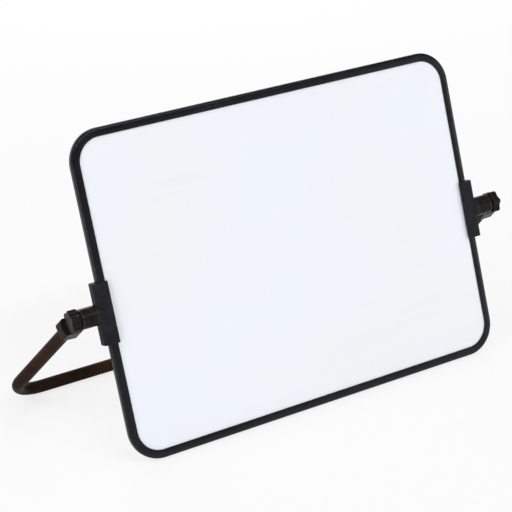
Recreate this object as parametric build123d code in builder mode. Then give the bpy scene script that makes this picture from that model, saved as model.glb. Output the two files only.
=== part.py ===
from build123d import *
from math import asin, cos, degrees, radians, sin, sqrt, tan
import os

os.makedirs("parts", exist_ok=True)

# Desk whiteboard that tilts inside a U-bent tube stand.
# Millimetres and degrees. X runs along the board, +Y to the back, +Z up from the desk.

# Board
board_width = 400.0
board_height = 300.0
corner_radius = 30.0
lean = 20.0  # how far the board leans back from upright

# Frame rail, a channel that is the same on the front and the back
rail_face = 8.0
rail_depth = 8.0
rail_crown = 0.25  # rise of the face in its middle
rail_lip = 1.2  # wall in front of and behind the sheets
rail_web = 2.0  # wall round the outside
rail_round = 2.6
lip_round = 0.35
groove_width = 0.6
groove_depth = 0.4
groove_turn = 42.0  # how far round the edge the groove lies, from the face towards the side

# Writing panel
sheet_thickness = 0.4
panel_gap = 0.3  # between the panel's edge and the rail's web

# Side clip
clip_length = 55.5
clip_plate = 2.0
clip_side_wall = 5.0
clip_overlap = 1.4  # past the rail, over the writing sheet
clip_round = 2.6
clip_edge_round = 0.7
clip_play = 0.1
pivot_drop = 9.3  # pivot below the middle of the board
collar_length = 1.0
collar_foot = 2.2  # how far the collar's slope starts inside the rail's outer side
collar_slope = 45.0
collar_round = 1.2
collar_blend = 0.8

# Pivot bolt, M6 with a hexagon head
bolt_diameter = 6.0
bolt_head_width = 10.0
bolt_head_height = 3.0
bolt_play = 0.06
head_play = 0.1
bolt_end_play = 1.0
bolt_tip_chamfer = 0.5
thread_travel = 1.5  # how far a knob can be backed off

# Friction washer and hub barrel
friction_thickness = 0.8
friction_diameter = 18.0
barrel_diameter = 18.5
barrel_length = 13.6
barrel_round = 0.5
face_play = 0.05  # axial gap between faces that turn on each other

# Tube stand
tube_diameter = 12.0
tube_wall = 1.2
leg_reach = 173.2  # pivot to the middle of the foot rail, square to the axis
leg_splay = 8.3
bend_radius = 32.0  # to the middle of the tube

# Tube socket of the hub
socket_wall = 2.1
socket_round = 2.0
socket_chamfer = 0.6
socket_end = 22.7  # along the leg from the pivot
socket_floor = 1.4
socket_play = 0.05
eye_overlap = 3.4  # how far the socket's inner side lies inside the barrel's end
knob_clearance = 0.8

# Knob and its washer
knob_diameter = 22.0
knob_lobes = 6
lobe_radius = 3.2
lobe_height = 1.8
lobe_blend = 1.4
lobe_thickness = 8.4
knob_edge_round = 1.2
skirt_diameter = 14.5
skirt_length = 1.8
nut_height = 5.0
nut_play = 0.02
knob_bore_play = 0.3
washer_diameter = 18.0
washer_thickness = 1.0
washer_play = 0.1
knob_turn = {"left": 50.0, "right": 23.0}  # where each thread runs tight

# Small screws, a pair in each clip and one in each hub
screw_diameter = 2.6
screw_head_diameter = 5.0
screw_head_height = 1.5
screw_head_round = 0.6
screw_recess_width = 0.7
screw_recess_length = 2.6
screw_recess_depth = 0.6
screw_play = 0.05
clip_screw_pitch = 36.0
hub_screw_inset = 4.7  # from the mouth of the socket

sides = {"left": -1, "right": 1}

# Hinge line. The board stands on the rounded lower back edge of its frame.
tube_radius = tube_diameter / 2
pivot_to_bottom = board_height / 2 - pivot_drop
edge_up = pivot_to_bottom - rail_round
edge_out = rail_depth / 2 - rail_round
pivot_z = edge_up * cos(radians(lean)) + edge_out * sin(radians(lean)) + rail_round
leg_slope = degrees(asin((pivot_z - tube_radius) / leg_reach))
front_reach = edge_up * sin(radians(lean)) + edge_out * cos(radians(lean)) + rail_round
back_reach = leg_reach * cos(radians(leg_slope)) + tube_radius
pivot_y = (front_reach - back_reach) / 2

# Board directions: up the board and out of its front. Leg direction: down the leg.
board_up = Vector(0, sin(radians(lean)), cos(radians(lean)))
board_front = Vector(0, -cos(radians(lean)), sin(radians(lean)))
leg_down = Vector(0, cos(radians(leg_slope)), -sin(radians(leg_slope)))
leg_top = Vector(0, sin(radians(leg_slope)), cos(radians(leg_slope)))
pivot = Vector(0, pivot_y, pivot_z)

# The board's middle plane and the stand's middle plane both hold the hinge line.
board_plane = Plane(origin=pivot, x_dir=(1, 0, 0), z_dir=board_front)
stand_plane = Plane(origin=pivot, x_dir=(1, 0, 0), z_dir=leg_top)

# Stack along the hinge, measured from the middle of the board
half_width = board_width / 2
clip_inner = half_width - rail_face - clip_overlap
clip_channel = half_width + clip_play
clip_outer = clip_channel + clip_side_wall
collar_end = clip_outer + collar_length
barrel_start = collar_end + friction_thickness + face_play
head_seat = clip_channel + bolt_head_height
barrel_end = barrel_start + barrel_length
washer_start = barrel_end + face_play
knob_start = washer_start + washer_thickness + face_play
lobe_start = knob_start + skirt_length
bolt_end = lobe_start + lobe_thickness - thread_travel - bolt_end_play
socket_size = tube_diameter + 2 * socket_wall
leg_start = barrel_end - eye_overlap + socket_size / 2
foot_reach = leg_start + leg_reach * tan(radians(leg_splay))
knob_room = knob_diameter / 2 + knob_clearance
tube_start = knob_room + socket_floor
socket_depth = socket_end - tube_start
hub_screw_grip = socket_wall + tube_wall + socket_play
bolt_radius = bolt_diameter / 2
hexagon_radius = bolt_head_width / sqrt(3)

# Writing panel and the pocket in the rail that holds it
pocket_depth = rail_depth - 2 * rail_lip
sheet_face = pocket_depth / 2
core_face = sheet_face - sheet_thickness
panel_width = board_width - 2 * (rail_web + panel_gap)
panel_height = board_height - 2 * (rail_web + panel_gap)
panel_corner = corner_radius - rail_web - panel_gap
rail_middle = half_width - rail_face / 2
clip_face = rail_depth / 2 + clip_play + clip_plate

# The collar's slope climbs out of the clip's faces up to the barrel's diameter
foot_start = clip_channel - collar_foot
foot_radius = rail_depth / 2 + clip_play + clip_plate / 2
slope_end = foot_start + (barrel_diameter / 2 - foot_radius) / tan(radians(collar_slope))


def save(part, name):
    part.label = name
    export_step(part, f"parts/{name}.step")


def across_hinge(side, distance, x_dir):
    """Plane square to the hinge line, facing away from the board."""
    return Plane(origin=pivot + Vector(side * distance, 0, 0), x_dir=x_dir, z_dir=(side, 0, 0))


def along_leg(side):
    """Plane square to one leg, on the hinge line, facing down the leg."""
    splay = radians(leg_splay)
    down = Vector(side * sin(splay), 0, 0) + leg_down * cos(splay)
    return Plane(origin=pivot + Vector(side * leg_start, 0, 0), x_dir=leg_top, z_dir=down)


def rail(end):
    """Half of the frame: a channel swept round two corners. end is 1 for the upper half."""
    joint = (-half_width, 0)
    corner = pivot_drop + end * board_height / 2
    start = Plane(origin=board_plane.from_local_coords(joint), x_dir=(1, 0, 0), z_dir=board_up * end)
    edge = rail_depth / 2 - rail_crown
    groove_x = rail_round * (1 - sin(radians(groove_turn)))
    groove_y = edge - rail_round * (1 - cos(radians(groove_turn)))
    with BuildPart() as part:
        with BuildLine(board_plane):
            outline = FilletPolyline(
                joint, (-half_width, corner), (half_width, corner), (half_width, 0), radius=corner_radius
            )
        with BuildSketch(start) as profile:
            with BuildLine():
                Polyline((rail_face, edge), (rail_face, 0), (0, 0), (0, edge))
                ThreePointArc((0, edge), (rail_face / 2, rail_depth / 2), (rail_face, edge))
            make_face()
            mirror(about=Plane.XZ)
            rows = profile.vertices().group_by(Axis.Y)
            fillet([v for v in rows[0] + rows[-1] if v.X < rail_web], radius=rail_round)
            lips = profile.vertices().group_by(Axis.X)[-1]
            fillet([v for v in lips if abs(v.Y) > pocket_depth / 2], radius=lip_round)
            with Locations((rail_face / 2 + rail_web, 0)):
                Rectangle(rail_face, pocket_depth, mode=Mode.SUBTRACT)
            for way in (1, -1):
                turn = way * groove_turn
                with Locations((groove_x, way * groove_y)):
                    Rectangle(groove_width, 2 * groove_depth, rotation=turn, mode=Mode.SUBTRACT)
        sweep(path=outline)
        with BuildSketch(board_plane.offset(-rail_depth / 2)):
            with Locations((0, end * clip_screw_pitch / 2)):
                with GridLocations(2 * rail_middle, 0, 2, 1):
                    Circle(screw_diameter / 2 + screw_play)
        extrude(amount=rail_lip, mode=Mode.SUBTRACT)
    return part.part


def panel(place, thickness):
    """Flat layer of the writing panel, its front face at this height over the board's middle plane."""
    with BuildPart() as part:
        with BuildSketch(board_plane.offset(place)):
            with Locations((0, pivot_drop)):
                RectangleRounded(panel_width, panel_height, panel_corner)
        extrude(amount=-thickness)
    return part.part


def clip(side):
    """Moulded bracket round one side rail, with the collar that its hub turns on."""
    with BuildPart() as part:
        with BuildSketch(Plane(origin=pivot, x_dir=(side, 0, 0), z_dir=board_up)) as profile:
            with Locations(((clip_inner + clip_outer) / 2, 0)):
                Rectangle(clip_outer - clip_inner, 2 * clip_face)
            fillet(profile.vertices().group_by(Axis.X)[-1], radius=clip_round)
            fillet(profile.vertices().group_by(Axis.X)[0], radius=clip_edge_round)
        extrude(amount=clip_length / 2, both=True)
        with BuildSketch(Plane(origin=pivot, x_dir=(side, 0, 0), z_dir=board_front)) as collar:
            with BuildLine():
                Polyline(
                    (foot_start, 0), (foot_start, foot_radius), (slope_end, barrel_diameter / 2),
                    (collar_end, barrel_diameter / 2), (collar_end, 0), close=True,
                )
            make_face()
            corner = collar.vertices().sort_by_distance((slope_end, barrel_diameter / 2))[0]
            fillet(corner, radius=collar_round)
        revolve(axis=Axis(pivot, (side, 0, 0)))
        slope = part.faces().filter_by(GeomType.CONE)[0]
        creases = [e for e in slope.edges() if e.geom_type != GeomType.CIRCLE]
        fillet(creases, radius=collar_blend)
        with BuildSketch(Plane(origin=pivot, x_dir=(side, 0, 0), z_dir=board_up)):
            with Locations(((clip_inner + clip_channel) / 2, 0)):
                Rectangle(clip_channel - clip_inner, rail_depth + 2 * clip_play)
        extrude(amount=clip_length / 2, both=True, mode=Mode.SUBTRACT)
        with BuildSketch(across_hinge(side, clip_channel, board_up)):
            RegularPolygon(radius=hexagon_radius + head_play, side_count=6)
        extrude(amount=bolt_head_height, mode=Mode.SUBTRACT)
        with BuildSketch(across_hinge(side, head_seat, board_up)):
            Circle(bolt_radius + bolt_play)
        extrude(amount=collar_end - head_seat, mode=Mode.SUBTRACT)
        with BuildSketch(board_plane.offset(-clip_face)):
            with Locations((side * rail_middle, 0)):
                with GridLocations(0, clip_screw_pitch, 1, 2):
                    Circle(screw_diameter / 2 + screw_play)
        extrude(amount=clip_plate, mode=Mode.SUBTRACT)
    return part.part


def pivot_bolt(side):
    """Hexagon bolt, its head caught between the clip and the rail."""
    with BuildPart() as part:
        with BuildSketch(across_hinge(side, clip_channel, board_up)):
            RegularPolygon(radius=hexagon_radius, side_count=6)
        extrude(amount=bolt_head_height)
        with BuildSketch(across_hinge(side, head_seat, board_up)):
            Circle(bolt_radius)
        extrude(amount=bolt_end - head_seat)
        tip = part.faces().sort_by(Axis.X)[-1 if side > 0 else 0]
        chamfer(tip.edges(), length=bolt_tip_chamfer)
    return part.part


def washer(side, start, thickness, diameter):
    """Flat ring on the pivot bolt."""
    with BuildPart() as part:
        with BuildSketch(across_hinge(side, start, board_up)):
            Circle(diameter / 2)
            Circle(bolt_radius + washer_play, mode=Mode.SUBTRACT)
        extrude(amount=thickness)
    return part.part


def screws(seat, pitch, grip):
    """Pan-head screws in a line of two, or one screw where pitch is 0, seated on this plane."""
    count = 2 if pitch else 1
    with BuildPart() as part:
        with BuildSketch(seat):
            with GridLocations(0, pitch, 1, count):
                Circle(screw_head_diameter / 2)
        extrude(amount=screw_head_height)
        tops = part.edges().filter_by(GeomType.CIRCLE).group_by(seat.location.z_axis)[-1]
        fillet(tops, radius=screw_head_round)
        with BuildSketch(seat.offset(screw_head_height)):
            with GridLocations(0, pitch, 1, count):
                Rectangle(screw_recess_length, screw_recess_width)
                Rectangle(screw_recess_width, screw_recess_length)
        extrude(amount=-screw_recess_depth, mode=Mode.SUBTRACT)
        with BuildSketch(seat):
            with GridLocations(0, pitch, 1, count):
                Circle(screw_diameter / 2)
        extrude(amount=-grip)
    return part.part


def stand_tube():
    """One tube bent into a U: two legs that splay outwards and the foot rail between them."""
    top = leg_start + tube_start * sin(radians(leg_splay))
    down = tube_start * cos(radians(leg_splay))
    with BuildPart() as part:
        with BuildLine(stand_plane) as route:
            FilletPolyline(
                (-top, down), (-foot_reach, leg_reach), (foot_reach, leg_reach), (top, down),
                radius=bend_radius,
            )
        with BuildSketch(Plane(origin=route.line @ 0, z_dir=route.line % 0)):
            Circle(tube_radius)
            Circle(tube_radius - tube_wall, mode=Mode.SUBTRACT)
        sweep()
        for side in sides.values():
            with BuildSketch(hub_screw_seat(side)):
                Circle(screw_diameter / 2 + screw_play)
            extrude(amount=-hub_screw_grip, mode=Mode.SUBTRACT)
    return part.part


def hub_screw_seat(side):
    """Plane on the upper face of a tube socket, facing off it, where the hub's screw sits."""
    leg = along_leg(side)
    seat = leg.from_local_coords((socket_size / 2, 0, socket_end - hub_screw_inset))
    return Plane(origin=seat, x_dir=leg.z_dir, z_dir=leg_top)


def hub(side):
    """Hinge barrel with a square tube socket that clears the knob beside it."""
    leg = along_leg(side)
    with BuildPart() as part:
        with BuildSketch(leg) as profile:
            Rectangle(socket_size, socket_size)
            fillet(profile.vertices(), radius=socket_round)
        extrude(amount=socket_end)
        chamfer(part.faces().sort_by(leg.location.z_axis)[-1].edges(), length=socket_chamfer)
        with BuildSketch(across_hinge(side, barrel_end, leg_down)):
            Circle(knob_room)
        extrude(amount=2 * socket_size, mode=Mode.SUBTRACT)
        with BuildSketch(across_hinge(side, barrel_start, leg_down)):
            Circle(barrel_diameter / 2)
        extrude(amount=barrel_length)
        ends = part.edges().filter_by(GeomType.CIRCLE).sort_by(Axis.X)
        fillet(ends[-1 if side < 0 else 0], radius=barrel_round)
        with BuildSketch(across_hinge(side, barrel_start, leg_down)):
            Circle(bolt_radius + bolt_play)
        extrude(amount=barrel_length, mode=Mode.SUBTRACT)
        with BuildSketch(leg.offset(tube_start)):
            Circle(tube_radius + socket_play)
        extrude(amount=socket_depth, mode=Mode.SUBTRACT)
        with BuildSketch(hub_screw_seat(side)):
            Circle(screw_diameter / 2 + screw_play)
        extrude(amount=-hub_screw_grip, mode=Mode.SUBTRACT)
    return part.part


def knob(side, turn):
    """Lobed clamp knob on a short skirt, moulded round a nut and closed at its outer end."""
    back = across_hinge(side, knob_start, board_up)
    with BuildPart() as part:
        with BuildSketch(back.offset(skirt_length)) as head:
            Circle(knob_diameter / 2 - lobe_height)
            with PolarLocations(knob_diameter / 2 - lobe_radius, knob_lobes, start_angle=turn):
                Circle(lobe_radius)
            valleys = head.vertices().sort_by_distance((0, 0))
            fillet(valleys, radius=lobe_blend)
        extrude(amount=lobe_thickness)
        rims = part.faces().filter_by(Axis.X).sort_by(Axis.X)
        fillet(rims[0].edges() + rims[-1].edges(), radius=knob_edge_round)
        with BuildSketch(back):
            Circle(skirt_diameter / 2)
        extrude(amount=skirt_length)
        with BuildSketch(back):
            RegularPolygon(radius=hexagon_radius + nut_play, side_count=6)
        extrude(amount=nut_height, mode=Mode.SUBTRACT)
        with BuildSketch(back):
            Circle(bolt_radius + knob_bore_play)
        extrude(amount=bolt_end + bolt_end_play - knob_start, mode=Mode.SUBTRACT)
    return part.part


def knob_nut(side):
    """Hexagon nut in the knob's inner end."""
    with BuildPart() as part:
        with BuildSketch(across_hinge(side, knob_start, board_up)):
            RegularPolygon(radius=hexagon_radius, side_count=6)
            Circle(bolt_radius + bolt_play, mode=Mode.SUBTRACT)
        extrude(amount=nut_height)
    return part.part


# Board
save(rail(1), "upper_frame")
save(rail(-1), "lower_frame")
save(panel(sheet_face, sheet_thickness), "front_sheet")
save(panel(core_face, 2 * core_face), "core_board")
save(panel(-core_face, sheet_thickness), "rear_sheet")

# Stand
save(stand_tube(), "stand_tube")

# Both hinges
for name, side in sides.items():
    clip_back = Plane(
        origin=board_plane.from_local_coords((side * rail_middle, 0, -clip_face)),
        x_dir=(1, 0, 0),
        z_dir=-board_front,
    )
    save(clip(side), f"{name}_clip")
    save(screws(clip_back, clip_screw_pitch, clip_plate + rail_lip), f"{name}_clip_screws")
    save(pivot_bolt(side), f"{name}_pivot_bolt")
    save(washer(side, collar_end, friction_thickness, friction_diameter), f"{name}_friction_washer")
    save(hub(side), f"{name}_hub")
    save(screws(hub_screw_seat(side), 0, hub_screw_grip), f"{name}_hub_screw")
    save(washer(side, washer_start, washer_thickness, washer_diameter), f"{name}_knob_washer")
    save(knob(side, knob_turn[name]), f"{name}_knob")
    save(knob_nut(side), f"{name}_knob_nut")
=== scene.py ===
from math import ceil, cos, radians, sin, sqrt

import bpy
from mathutils import Matrix, Quaternion, Vector


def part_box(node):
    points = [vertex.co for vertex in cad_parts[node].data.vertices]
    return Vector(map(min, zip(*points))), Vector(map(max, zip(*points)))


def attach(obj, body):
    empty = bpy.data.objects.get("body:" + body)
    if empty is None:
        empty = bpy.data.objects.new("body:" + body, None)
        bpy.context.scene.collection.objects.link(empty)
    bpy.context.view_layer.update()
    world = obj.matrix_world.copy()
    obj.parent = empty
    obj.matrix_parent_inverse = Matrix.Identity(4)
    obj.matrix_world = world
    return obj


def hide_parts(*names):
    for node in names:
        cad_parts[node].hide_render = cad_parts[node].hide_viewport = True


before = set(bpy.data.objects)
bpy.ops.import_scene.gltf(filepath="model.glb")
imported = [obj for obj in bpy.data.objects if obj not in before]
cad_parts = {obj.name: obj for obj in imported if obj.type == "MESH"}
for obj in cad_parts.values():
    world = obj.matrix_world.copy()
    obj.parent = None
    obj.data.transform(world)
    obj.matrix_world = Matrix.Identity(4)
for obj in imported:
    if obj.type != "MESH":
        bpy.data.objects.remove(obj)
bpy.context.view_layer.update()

# ---------------------------------------------------------------------------
# Writing sheets
# Thin steel, coated white and stoved to a hard gloss so that dry ink wipes off.
# Wiping leaves cloudy traces and a few fine streaks along the board.
# ---------------------------------------------------------------------------

COOL_WHITE = (0.835, 0.870, 0.935, 1)
WARM_WHITE = (0.850, 0.862, 0.895, 1)
WIPE_MARK = (0.795, 0.815, 0.860, 1)
# Here and below, patterns are counted to the metre, and heights and widths are in metres
CLOUDS = 7.0
STREAKS = (5.0, 70.0, 70.0)
STREAK_MASK = (0.52, 0.72)
CLOUD_MASK = (0.45, 0.70)
CLOUD_STRENGTH = (0.0, 0.5)
ENAMEL_SPREAD = (0.30, 0.75)
ENAMEL_ROUGHNESS = (0.12, 0.24)
LACQUER = 0.35
LACQUER_ROUGHNESS = 0.05
RIPPLES = 260.0
RIPPLE_HEIGHT = 0.000015

# The parts of a noise that are spread over a whole change of shade, or of roughness
SHADE_SPREAD = (0.35, 0.65)
ROUGH_SPREAD = (0.30, 0.70)


def place(tree, kind, inputs=None, **settings):
    """Adds a node. An input is given by its name or number, as a value or as another node's socket."""
    made = tree.nodes.new(kind)
    for name, value in settings.items():
        setattr(made, name, value)
    for name, value in (inputs or {}).items():
        if isinstance(value, bpy.types.NodeSocket):
            tree.links.new(value, made.inputs[name])
        else:
            made.inputs[name].default_value = value
    return made


def ranged(tree, value, given, wanted=(0.0, 1.0)):
    """The value, stretched so that the given range becomes the wanted one, and held within it."""
    start, end = given
    low, high = wanted
    limits = {"Value": value, "From Min": start, "From Max": end, "To Min": low, "To Max": high}
    return place(tree, "ShaderNodeMapRange", limits).outputs["Result"]


def mixed(tree, factor, first, second):
    """Two colours mixed by a factor."""
    inputs = {0: factor, 6: first, 7: second}
    return place(tree, "ShaderNodeMix", inputs, data_type="RGBA").outputs[2]


def product(tree, first, second):
    """Two values multiplied."""
    return place(tree, "ShaderNodeMath", {0: first, 1: second}, operation="MULTIPLY").outputs[0]


def noise(tree, where, scale, detail=2.0, roughness=0.5):
    """Cloudy noise; scale is in clouds to the metre."""
    inputs = {"Vector": where, "Scale": scale, "Detail": detail, "Roughness": roughness}
    return place(tree, "ShaderNodeTexNoise", inputs).outputs["Fac"]


def new_finish(name, roughness=0.5, shine=0.5, metallic=0.0):
    """A material with a plain shader; returns it with its tree, its shader and its object coordinates."""
    finish = bpy.data.materials.new(name)
    finish.use_nodes = True
    tree = finish.node_tree
    shader = tree.nodes["Principled BSDF"]
    shader.inputs["Roughness"].default_value = roughness
    shader.inputs["Specular IOR Level"].default_value = shine
    shader.inputs["Metallic"].default_value = metallic
    where = place(tree, "ShaderNodeTexCoord").outputs["Object"]
    return finish, tree, shader, where


def raise_surface(tree, shader, height, distance):
    """Bumps a shader's surface; distance is how far a height of 1 stands up, in metres."""
    bump = place(tree, "ShaderNodeBump", {"Height": height, "Distance": distance, "Strength": 1.0})
    tree.links.new(bump.outputs["Normal"], shader.inputs["Normal"])


def dress(finish, *names):
    """Gives a finish to every material slot of these parts."""
    for name in names:
        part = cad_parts[name]
        for slot in part.material_slots:
            slot.material = finish


enamel, tree, shader, where = new_finish("white_enamel")
cloud = noise(tree, where, CLOUDS, detail=3.0)
along_board = place(tree, "ShaderNodeMapping", {"Vector": where, "Scale": STREAKS})
wipe = noise(tree, along_board.outputs["Vector"], 1.0, detail=4.0, roughness=0.65)
wiped = product(tree, ranged(tree, wipe, STREAK_MASK), ranged(tree, cloud, CLOUD_MASK, CLOUD_STRENGTH))
white = mixed(tree, ranged(tree, cloud, SHADE_SPREAD), COOL_WHITE, WARM_WHITE)
tree.links.new(mixed(tree, wiped, white, WIPE_MARK), shader.inputs["Base Color"])
tree.links.new(ranged(tree, wipe, ENAMEL_SPREAD, ENAMEL_ROUGHNESS), shader.inputs["Roughness"])
shader.inputs["Coat Weight"].default_value = LACQUER
shader.inputs["Coat Roughness"].default_value = LACQUER_ROUGHNESS
raise_surface(tree, shader, noise(tree, where, RIPPLES), RIPPLE_HEIGHT)
dress(enamel, "front_sheet", "rear_sheet")

# ---------------------------------------------------------------------------
# Core board
# Brown fibreboard between the two sheets, pressed from long fibres.
# The frame's channel hides its edges, so it only shows if the frame comes off.
# ---------------------------------------------------------------------------

FIBRE_LIGHT = (0.42, 0.29, 0.17, 1)
FIBRE_DARK = (0.27, 0.17, 0.09, 1)
FIBRES = (90.0, 900.0, 900.0)
FIBRE_SPREAD = (0.30, 0.70)
FIBRE_RELIEF = 0.0001

fibreboard, tree, shader, where = new_finish("fibreboard", roughness=0.85)
fibres = place(tree, "ShaderNodeMapping", {"Vector": where, "Scale": FIBRES})
strand = noise(tree, fibres.outputs["Vector"], 1.0, detail=5.0)
fibre_brown = mixed(tree, ranged(tree, strand, FIBRE_SPREAD), FIBRE_LIGHT, FIBRE_DARK)
tree.links.new(fibre_brown, shader.inputs["Base Color"])
raise_surface(tree, shader, strand, FIBRE_RELIEF)
dress(fibreboard, "core_board")

# ---------------------------------------------------------------------------
# Frame
# Two bent lengths of aluminium channel that meet under the side clips, painted black.
# The paint is smooth and half glossy, and rubbed thin in patches along the edges.
# ---------------------------------------------------------------------------

RAIL_BLACK = (0.0040, 0.0042, 0.0062, 1)
RAIL_GREY = (0.0070, 0.0075, 0.0105, 1)
RUBBED_GREY = (0.060, 0.060, 0.068, 1)
RAIL_ROUGHNESS = (0.20, 0.30)
PAINT_CLOUDS = 35.0
PAINT_DULLING = 60.0
PAINT_GRAIN = 1600.0
PAINT_RELIEF = 0.00002
FLAT_TO_EDGE = (0.998, 0.93)
WORN_PATCHES = (0.35, 0.70)


def make_edge_wear():
    """Group: a mask of the outward edges, broken up by noise. Radius is the width of the worn band.

    A surface's normal agrees with the normal of its rounded-off copy on the flat, and less at an edge.
    """
    group = bpy.data.node_groups.new("edge_wear", "ShaderNodeTree")
    for name in ("Radius", "Patches"):
        group.interface.new_socket(name, in_out="INPUT", socket_type="NodeSocketFloat")
    group.interface.new_socket("Mask", in_out="OUTPUT", socket_type="NodeSocketFloat")
    given = group.nodes.new("NodeGroupInput")
    result = group.nodes.new("NodeGroupOutput")
    where = place(group, "ShaderNodeTexCoord").outputs["Object"]
    patches = place(group, "ShaderNodeTexNoise", {"Vector": where, "Scale": given.outputs["Patches"]})
    rounded = place(group, "ShaderNodeBevel", {"Radius": given.outputs["Radius"]}, samples=4)
    real = place(group, "ShaderNodeNewGeometry")
    normals = {0: rounded.outputs["Normal"], 1: real.outputs["Normal"]}
    agree = place(group, "ShaderNodeVectorMath", normals, operation="DOT_PRODUCT").outputs["Value"]
    edge = ranged(group, agree, FLAT_TO_EDGE)
    mask = product(group, edge, ranged(group, patches.outputs["Fac"], WORN_PATCHES))
    group.links.new(mask, result.inputs["Mask"])
    return group


edge_wear = make_edge_wear()


def worn(tree, radius, patches):
    """The edge wear mask, placed in a material with its own values."""
    placed = place(tree, "ShaderNodeGroup", node_tree=edge_wear)
    placed.inputs["Radius"].default_value = radius
    placed.inputs["Patches"].default_value = patches
    return placed.outputs["Mask"]


rail_paint, tree, shader, where = new_finish("rail_paint", shine=0.26)
clouds = noise(tree, where, PAINT_CLOUDS, detail=4.0)
paint = mixed(tree, ranged(tree, clouds, SHADE_SPREAD), RAIL_BLACK, RAIL_GREY)
rubbed = worn(tree, radius=0.0005, patches=220.0)
tree.links.new(mixed(tree, rubbed, paint, RUBBED_GREY), shader.inputs["Base Color"])
dulling = noise(tree, where, PAINT_DULLING, detail=5.0)
tree.links.new(ranged(tree, dulling, ROUGH_SPREAD, RAIL_ROUGHNESS), shader.inputs["Roughness"])
raise_surface(tree, shader, noise(tree, where, PAINT_GRAIN, detail=3.0), PAINT_RELIEF)
dress(rail_paint, "upper_frame", "lower_frame")

# ---------------------------------------------------------------------------
# Side clips
# Moulded nylon brackets, black with a fine spark-eroded grain, screwed to the frame
# from behind. Each holds the head of a pivot bolt and has the collar that its hub turns on.
# ---------------------------------------------------------------------------

CLIP_BLACK = (0.0135, 0.0126, 0.0158, 1)
CLIP_GREY = (0.0208, 0.0198, 0.0245, 1)
MOTTLE = 110.0
MOULDED_EDGE = 0.0005
MOULDED_PATCHES = 400.0
SMOOTHER = 0.05
ROUGHER = 0.06


def make_mould_grain():
    """Group: the height of a fine pebbled grain, as left by a spark-eroded mould."""
    group = bpy.data.node_groups.new("mould_grain", "ShaderNodeTree")
    group.interface.new_socket("Scale", in_out="INPUT", socket_type="NodeSocketFloat")
    group.interface.new_socket("Height", in_out="OUTPUT", socket_type="NodeSocketFloat")
    scale = group.nodes.new("NodeGroupInput").outputs["Scale"]
    result = group.nodes.new("NodeGroupOutput")
    where = place(group, "ShaderNodeTexCoord").outputs["Object"]
    pebbles = place(group, "ShaderNodeTexVoronoi", {"Vector": where, "Scale": scale}).outputs["Distance"]
    height = place(group, "ShaderNodeMath", {0: pebbles, 1: noise(group, where, scale, detail=4.0)})
    group.links.new(height.outputs[0], result.inputs["Height"])
    return group


mould_grain = make_mould_grain()


def moulded_black(name, dark, light, roughness, shine, grain_scale, grain_depth):
    """Grained black plastic with lighter rubbed edges and a mottle from moulding."""
    finish, tree, shader, where = new_finish(name, shine=shine)
    mottle = noise(tree, where, MOTTLE, detail=4.0)
    skin = mixed(tree, ranged(tree, mottle, SHADE_SPREAD), dark, light)
    rubbed = worn(tree, MOULDED_EDGE, MOULDED_PATCHES)
    tree.links.new(mixed(tree, rubbed, skin, RUBBED_GREY), shader.inputs["Base Color"])
    rough = ranged(tree, mottle, ROUGH_SPREAD, (roughness - SMOOTHER, roughness + ROUGHER))
    tree.links.new(rough, shader.inputs["Roughness"])
    grain = place(tree, "ShaderNodeGroup", {"Scale": grain_scale}, node_tree=mould_grain)
    raise_surface(tree, shader, grain.outputs["Height"], grain_depth)
    return finish


clip_nylon = moulded_black(
    "clip_nylon", CLIP_BLACK, CLIP_GREY, roughness=0.42, shine=0.05,
    grain_scale=2000.0, grain_depth=0.00004,
)
dress(clip_nylon, "left_clip", "right_clip")

# ---------------------------------------------------------------------------
# Small screws
# Steel pan heads with a cross recess, blackened, the black rubbed off their edges.
# Two go through the back of each clip into the frame, and one holds each hub on the tube.
# ---------------------------------------------------------------------------

SCREW_BLACK = (0.030, 0.030, 0.033, 1)
SCREW_WORN = (0.140, 0.140, 0.145, 1)
SCREW_ROUGHNESS = (0.32, 0.50)
SCREW_DULLING = 700.0

blackened_screw, tree, shader, where = new_finish("blackened_screw", metallic=0.8)
rubbed = worn(tree, radius=0.0003, patches=900.0)
tree.links.new(mixed(tree, rubbed, SCREW_BLACK, SCREW_WORN), shader.inputs["Base Color"])
dulling = noise(tree, where, SCREW_DULLING)
tree.links.new(ranged(tree, dulling, ROUGH_SPREAD, SCREW_ROUGHNESS), shader.inputs["Roughness"])
for side in ("left", "right"):
    dress(blackened_screw, f"{side}_clip_screws", f"{side}_hub_screw")

# ---------------------------------------------------------------------------
# Pivot bolts and nuts
# M6 steel, zinc plated to a dull blue-grey. Each bolt's head is caught between clip and rail, and
# its shank, threaded all along, carries the hinge and ends in a nut that is moulded into the knob.
# ---------------------------------------------------------------------------

ZINC_PALE = (0.58, 0.60, 0.63, 1)
ZINC_DULL = (0.44, 0.45, 0.47, 1)
SPANGLES = 450.0
PLATE_GRAIN = 3000.0
PLATE_RELIEF = 0.000004
ACROSS_FLATS = 0.010
HEAD_RADIUS = ACROSS_FLATS / sqrt(3)
HEAD_HEIGHT = 0.003
HEAD_BEVEL = 0.0003
BEVEL_STEPS = 3
BOLT_RADIUS = 0.003
THREAD_PITCH = 0.001
THREAD_DEPTH = 0.0006
TURN_STEPS = 36
SAME_POINT = 2e-6
ON_THE_CUT = 1e-7
TIP_TAPER = 0.0006
TIP_SHRINK = 0.82
SHARP_FROM = radians(35)
BOARD_LEAN = radians(20)

zinc, tree, shader, where = new_finish("zinc_plate", roughness=0.34, metallic=1.0)
spangle = place(tree, "ShaderNodeTexVoronoi", {"Vector": where, "Scale": SPANGLES}).outputs["Color"]
tree.links.new(mixed(tree, spangle, ZINC_PALE, ZINC_DULL), shader.inputs["Base Color"])
raise_surface(tree, shader, noise(tree, where, PLATE_GRAIN), PLATE_RELIEF)
dress(zinc, "left_knob_nut", "right_knob_nut")


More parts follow.
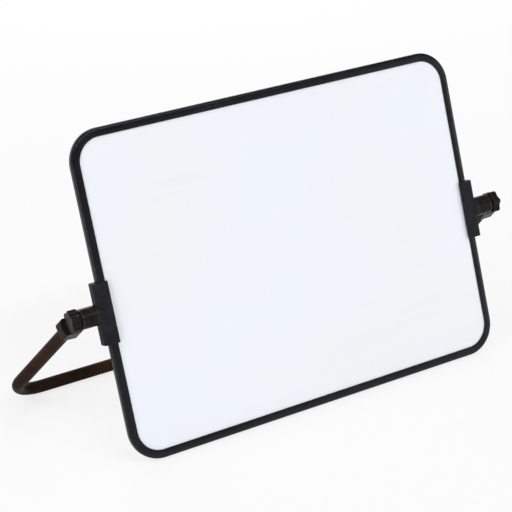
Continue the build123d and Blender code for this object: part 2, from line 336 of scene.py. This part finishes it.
def threaded_shank(length):
    """A threaded rod along Z, from inside the head to its tapered tip."""
    bpy.ops.object.select_all(action="DESELECT")
    bpy.ops.mesh.primitive_plane_add(size=THREAD_PITCH)
    shank = bpy.context.object
    bpy.ops.object.mode_set(mode="EDIT")
    # The plane shrinks to a point on the crest, and two flanks go from it to the root and back out
    bpy.ops.mesh.merge(type="CENTER")
    bpy.ops.transform.translate(value=(BOLT_RADIUS, 0, 0))
    for outward in (-THREAD_DEPTH, THREAD_DEPTH):
        flank = (outward, 0, THREAD_PITCH / 2)
        bpy.ops.mesh.extrude_vertices_move(TRANSFORM_OT_translate={"value": flank})
    bpy.ops.object.mode_set(mode="OBJECT")
    turning = shank.modifiers.new("thread", "SCREW")
    turning.steps = TURN_STEPS
    turning.render_steps = TURN_STEPS
    turning.iterations = ceil(length / THREAD_PITCH)
    turning.screw_offset = THREAD_PITCH
    bpy.ops.object.modifier_apply(modifier="thread")
    bpy.ops.object.mode_set(mode="EDIT")
    bpy.ops.mesh.select_all(action="SELECT")
    bpy.ops.mesh.remove_doubles(threshold=SAME_POINT)
    for cut, away in ((HEAD_HEIGHT / 2, -1), (length - TIP_TAPER, 1)):
        bpy.ops.mesh.select_all(action="SELECT")
        bpy.ops.mesh.bisect(
            plane_co=(0, 0, cut), plane_no=(0, 0, away),
            use_fill=True, clear_outer=True, threshold=ON_THE_CUT,
        )
    # The last cut's cap is still selected, and is drawn out into the tip
    bpy.ops.mesh.extrude_region_move(TRANSFORM_OT_translate={"value": (0, 0, TIP_TAPER)})
    bpy.ops.transform.resize(value=(TIP_SHRINK, TIP_SHRINK, 1))
    bpy.ops.mesh.select_all(action="SELECT")
    bpy.ops.mesh.normals_make_consistent(inside=False)
    bpy.ops.object.mode_set(mode="OBJECT")
    return shank


def hexagon_head():
    """A bolt's head on Z, its edges slightly rounded by forging."""
    bpy.ops.object.select_all(action="DESELECT")
    bpy.ops.mesh.primitive_cylinder_add(
        vertices=6, radius=HEAD_RADIUS, depth=HEAD_HEIGHT, location=(0, 0, HEAD_HEIGHT / 2),
    )
    head = bpy.context.object
    forged = head.modifiers.new("forged", "BEVEL")
    forged.width = HEAD_BEVEL
    forged.segments = BEVEL_STEPS
    bpy.ops.object.modifier_apply(modifier="forged")
    return head


def pivot_bolt(length):
    """A whole bolt along Z, from the flat of its head to its tip, zinc plated."""
    shank = threaded_shank(length)
    bolt = hexagon_head()
    shank.select_set(True)
    bpy.ops.object.join()
    bpy.ops.object.transform_apply(location=True, rotation=True, scale=True)
    bpy.ops.object.shade_smooth_by_angle(angle=SHARP_FROM)
    bolt.data.materials.clear()
    bolt.data.materials.append(zinc)
    return bolt


bolt_low, bolt_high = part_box("left_pivot_bolt")
left_bolt = pivot_bolt(bolt_high.x - bolt_low.x)
bpy.ops.object.duplicate()
right_bolt = bpy.context.object
board_up = Vector((0, sin(BOARD_LEAN), cos(BOARD_LEAN)))
for bolt, side, way in ((left_bolt, "left", -1), (right_bolt, "right", 1)):
    low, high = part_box(f"{side}_pivot_bolt")
    middle = (low + high) / 2
    head_end = Vector((low.x if way > 0 else high.x, middle.y, middle.z))
    outward = Vector((way, 0, 0))
    turned = Matrix((board_up.cross(outward), board_up, outward)).transposed().to_4x4()
    bpy.ops.object.select_all(action="DESELECT")
    bolt.select_set(True)
    bpy.context.view_layer.objects.active = bolt
    bolt.matrix_world = Matrix.Translation(head_end) @ turned
    bpy.ops.object.transform_apply(location=True, rotation=True, scale=True)
    bolt.name = f"{side}_threaded_bolt"
    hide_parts(f"{side}_pivot_bolt")
    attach(bolt, "board")

# ---------------------------------------------------------------------------
# Friction washers
# Black nylon rings on the bolts, pinched between clip and hub by the knobs.
# Their grip holds the board at its angle.
# ---------------------------------------------------------------------------

NYLON_DARK = (0.012, 0.012, 0.012, 1)
NYLON_PALE = (0.020, 0.020, 0.021, 1)

nylon_ring = moulded_black(
    "nylon_ring", NYLON_DARK, NYLON_PALE, roughness=0.55, shine=0.2,
    grain_scale=2600.0, grain_depth=0.00002,
)
dress(nylon_ring, "left_friction_washer", "right_friction_washer")

# ---------------------------------------------------------------------------
# Hubs
# Each is one black moulding: a barrel that turns on the collar of the clip, and a square
# socket for the tube. Their skin is smoother than that of the clips.
# ---------------------------------------------------------------------------

HUB_BLACK = (0.0106, 0.0087, 0.0086, 1)
HUB_GREY = (0.0208, 0.0170, 0.0168, 1)

hub_moulding = moulded_black(
    "hub_moulding", HUB_BLACK, HUB_GREY, roughness=0.24, shine=0.05,
    grain_scale=1500.0, grain_depth=0.00003,
)
dress(hub_moulding, "left_hub", "right_hub")

# ---------------------------------------------------------------------------
# Knob washers
# Steel under a black oxide, turned, so that the faces carry fine rings round the bolt.
# Each time the knob is tightened it rubs oxide off the edges, which show bare and bright.
# These bright edges are partly real wear and partly a painted highlight on the rim.
# ---------------------------------------------------------------------------

OXIDE_BLACK = (0.010, 0.010, 0.012, 1)
OXIDE_GREY = (0.028, 0.028, 0.032, 1)
# Bright steel on the worn edges, partly real wear and partly a painted highlight on the rim
BARE_STEEL_AND_GLINT = (0.560, 0.570, 0.590, 1)
OXIDE_ROUGHNESS = (0.26, 0.40)
TURNED_RINGS = 9000.0
RING_RELIEF = 0.00001

washer_low, washer_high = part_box("left_knob_washer")
hinge_line = (washer_low + washer_high) / 2
oxide, tree, shader, where = new_finish("black_oxide", metallic=0.6)
centre = {0: where, 1: (0, hinge_line.y, hinge_line.z)}
from_hinge = place(tree, "ShaderNodeVectorMath", centre, operation="SUBTRACT")
flattened = {0: from_hinge.outputs[0], 1: (0, 1, 1)}
across = place(tree, "ShaderNodeVectorMath", flattened, operation="MULTIPLY")
radius = place(tree, "ShaderNodeVectorMath", {0: across.outputs[0]}, operation="LENGTH").outputs["Value"]
turned_rings = {"W": radius, "Scale": TURNED_RINGS, "Detail": 2.0}
rings = place(tree, "ShaderNodeTexNoise", turned_rings, noise_dimensions="1D").outputs["Fac"]
ringed = mixed(tree, rings, OXIDE_BLACK, OXIDE_GREY)
# The bared edges are partly real wear and partly a painted highlight for the rim's glint
bared_and_glint = worn(tree, radius=0.00022, patches=260.0)
tree.links.new(mixed(tree, bared_and_glint, ringed, BARE_STEEL_AND_GLINT), shader.inputs["Base Color"])
tree.links.new(ranged(tree, rings, ROUGH_SPREAD, OXIDE_ROUGHNESS), shader.inputs["Roughness"])
raise_surface(tree, shader, rings, RING_RELIEF)
dress(oxide, "left_knob_washer", "right_knob_washer")

# ---------------------------------------------------------------------------
# Knobs
# Six-lobed clamp knobs, black and a little glossy, moulded round their nuts.
# Turned tight on the bolts, they press hub and clip together.
# ---------------------------------------------------------------------------

KNOB_BLACK = (0.0096, 0.0081, 0.0080, 1)
KNOB_GREY = (0.0180, 0.0150, 0.0148, 1)

knob_moulding = moulded_black(
    "knob_moulding", KNOB_BLACK, KNOB_GREY, roughness=0.24, shine=0.055,
    grain_scale=1200.0, grain_depth=0.00003,
)
dress(knob_moulding, "left_knob", "right_knob")

# ---------------------------------------------------------------------------
# Stand
# One steel tube bent into a U, its ends pushed into the hubs. It is powder coated black with a slight
# orange peel; its brown cast, in patches, is a painted reflection of a wooden desk.
# ---------------------------------------------------------------------------

# Both coat colours are tinted brown by a painted reflection of a wooden desk; the coat itself is black
COAT_BLACK = (0.0175, 0.0100, 0.0065, 1)
COAT_DESK_REFLECTION_BROWN = (0.0370, 0.0180, 0.0096, 1)
COAT_ROUGHNESS = (0.32, 0.45)
COAT_CLOUDS = 28.0
COAT_DULLING = 90.0
ORANGE_PEEL = 520.0
PEEL_RELIEF = 0.00005

powder_coat, tree, shader, where = new_finish("powder_coat", shine=0.015)
clouds = noise(tree, where, COAT_CLOUDS, detail=4.0)
# Patches of painted desk reflection, brown, mixed by noise into the black coat
coat_and_desk_reflection = mixed(tree, ranged(tree, clouds, SHADE_SPREAD), COAT_BLACK, COAT_DESK_REFLECTION_BROWN)
tree.links.new(coat_and_desk_reflection, shader.inputs["Base Color"])
dulling = noise(tree, where, COAT_DULLING, detail=4.0)
tree.links.new(ranged(tree, dulling, ROUGH_SPREAD, COAT_ROUGHNESS), shader.inputs["Roughness"])
raise_surface(tree, shader, noise(tree, where, ORANGE_PEEL), PEEL_RELIEF)
dress(powder_coat, "stand_tube")

# ---------------------------------------------------------------------------
# Studio
# A wide floor of white paper takes the object's shadow, and glows up to full white far away. The room
# looks white low down and dark above, so that the black parts stay black, and lights all sides evenly.
# A long key lamp hangs above the front, with two on the left, a narrow one on the right and one behind.
# ---------------------------------------------------------------------------

FLOOR_SIZE = 30.0
PAPER = (0.9, 0.9, 0.9, 1)
PURE_WHITE = (1, 1, 1, 1)
NEAR_GLOW = 0.76
NEAR_REACH = 0.55
FAR_REACH = 1.7
ROOM_LIGHT = 0.46
WALL_BRIGHT = radians(3)
WALL_DARK = radians(14)
CEILING = 0.15
BOARD_MIDDLE = (0, 0, 0.14)


def seen_rays(tree):
    """1 for a ray that shows a surface, straight, mirrored or through glass; 0 for one that lights it."""
    ray = place(tree, "ShaderNodeLightPath").outputs
    mirrored = {0: ray["Is Glossy Ray"], 1: ray["Is Transmission Ray"]}
    either = place(tree, "ShaderNodeMath", mirrored, operation="MAXIMUM").outputs[0]
    seen = {0: ray["Is Camera Ray"], 1: either}
    return place(tree, "ShaderNodeMath", seen, operation="MAXIMUM").outputs[0]


bpy.ops.object.select_all(action="DESELECT")
bpy.ops.mesh.primitive_plane_add(size=FLOOR_SIZE, location=(0, 0, 0))
floor = bpy.context.object
floor.name = "studio_floor"
paper = bpy.data.materials.new("white_paper")
paper.use_nodes = True
tree = paper.node_tree
tree.nodes.remove(tree.nodes["Principled BSDF"])
lit = place(tree, "ShaderNodeBsdfDiffuse", {"Color": PAPER}).outputs["BSDF"]
glow = place(tree, "ShaderNodeEmission", {"Color": PURE_WHITE, "Strength": 1.0}).outputs["Emission"]
where = place(tree, "ShaderNodeTexCoord").outputs["Object"]
distance = place(tree, "ShaderNodeVectorMath", {0: where}, operation="LENGTH").outputs["Value"]
glowing = ranged(tree, distance, (NEAR_REACH, FAR_REACH), (NEAR_GLOW, 1.0))
share = product(tree, seen_rays(tree), glowing)
both = place(tree, "ShaderNodeMixShader", {0: share, 1: lit, 2: glow})
tree.links.new(both.outputs[0], tree.nodes["Material Output"].inputs["Surface"])
floor.data.materials.append(paper)

room = bpy.data.worlds.new("white_room")
room.use_nodes = True
tree = room.node_tree
direction = place(tree, "ShaderNodeTexCoord").outputs["Generated"]
upward = place(tree, "ShaderNodeSeparateXYZ", {0: direction}).outputs["Z"]
walls = ranged(tree, upward, (sin(WALL_BRIGHT), sin(WALL_DARK)), (1.0, CEILING))
brightness = ranged(tree, seen_rays(tree), (0.0, 1.0), (ROOM_LIGHT, walls))
tree.links.new(brightness, tree.nodes["Background"].inputs["Strength"])
tree.nodes["Background"].inputs["Color"].default_value = PURE_WHITE
bpy.context.scene.world = room


def softbox(name, spot, width, height, power):
    """A rectangular lamp at spot, turned towards the board."""
    lamp = bpy.data.lights.new(name, "AREA")
    lamp.shape = "RECTANGLE"
    lamp.size = width
    lamp.size_y = height
    lamp.energy = power
    holder = bpy.data.objects.new(name, lamp)
    bpy.context.scene.collection.objects.link(holder)
    holder.location = spot
    holder.visible_camera = False
    holder.rotation_euler = (Vector(BOARD_MIDDLE) - Vector(spot)).to_track_quat("-Z", "Y").to_euler()


softbox("key", spot=(0.22, -1.26, 1.80), width=1.5, height=0.18, power=14.5)
softbox("left_side", spot=(-1.44, -0.16, 1.52), width=0.7, height=0.7, power=8)
softbox("left_low", spot=(-1.85, -0.85, 0.35), width=0.5, height=0.6, power=7)
softbox("right_strip", spot=(1.55, -1.25, 0.40), width=0.14, height=0.7, power=6)
softbox("back", spot=(0.80, 1.80, 0.80), width=1.2, height=0.8, power=13)

# ---------------------------------------------------------------------------
# Camera
# It stands in front of the board, to the left of it and above, with a long lens, and is
# turned a little to one side about its own line of sight.
# ---------------------------------------------------------------------------

CAMERA_AIM = Vector((-0.0320, -0.0178, 0.1359))
CAMERA_DISTANCE = 1.5512
CAMERA_AZIMUTH = radians(30.314)
CAMERA_ELEVATION = radians(26.163)
CAMERA_ROLL = radians(1.308)
FOCAL_LENGTH = 117.79
SENSOR_WIDTH = 36.0

along_floor = cos(CAMERA_ELEVATION)
to_camera = Vector((
    -sin(CAMERA_AZIMUTH) * along_floor,
    -cos(CAMERA_AZIMUTH) * along_floor,
    sin(CAMERA_ELEVATION),
))
lens = bpy.data.cameras.new("camera")
lens.sensor_width = SENSOR_WIDTH
lens.lens = FOCAL_LENGTH
camera = bpy.data.objects.new("camera", lens)
bpy.context.scene.collection.objects.link(camera)
camera.location = CAMERA_AIM + CAMERA_DISTANCE * to_camera
upright = (-to_camera).to_track_quat("-Z", "Y")
camera.rotation_euler = (upright @ Quaternion((0, 0, 1), -CAMERA_ROLL)).to_euler()
bpy.context.scene.camera = camera

bpy.context.scene.view_settings.view_transform = "Standard"
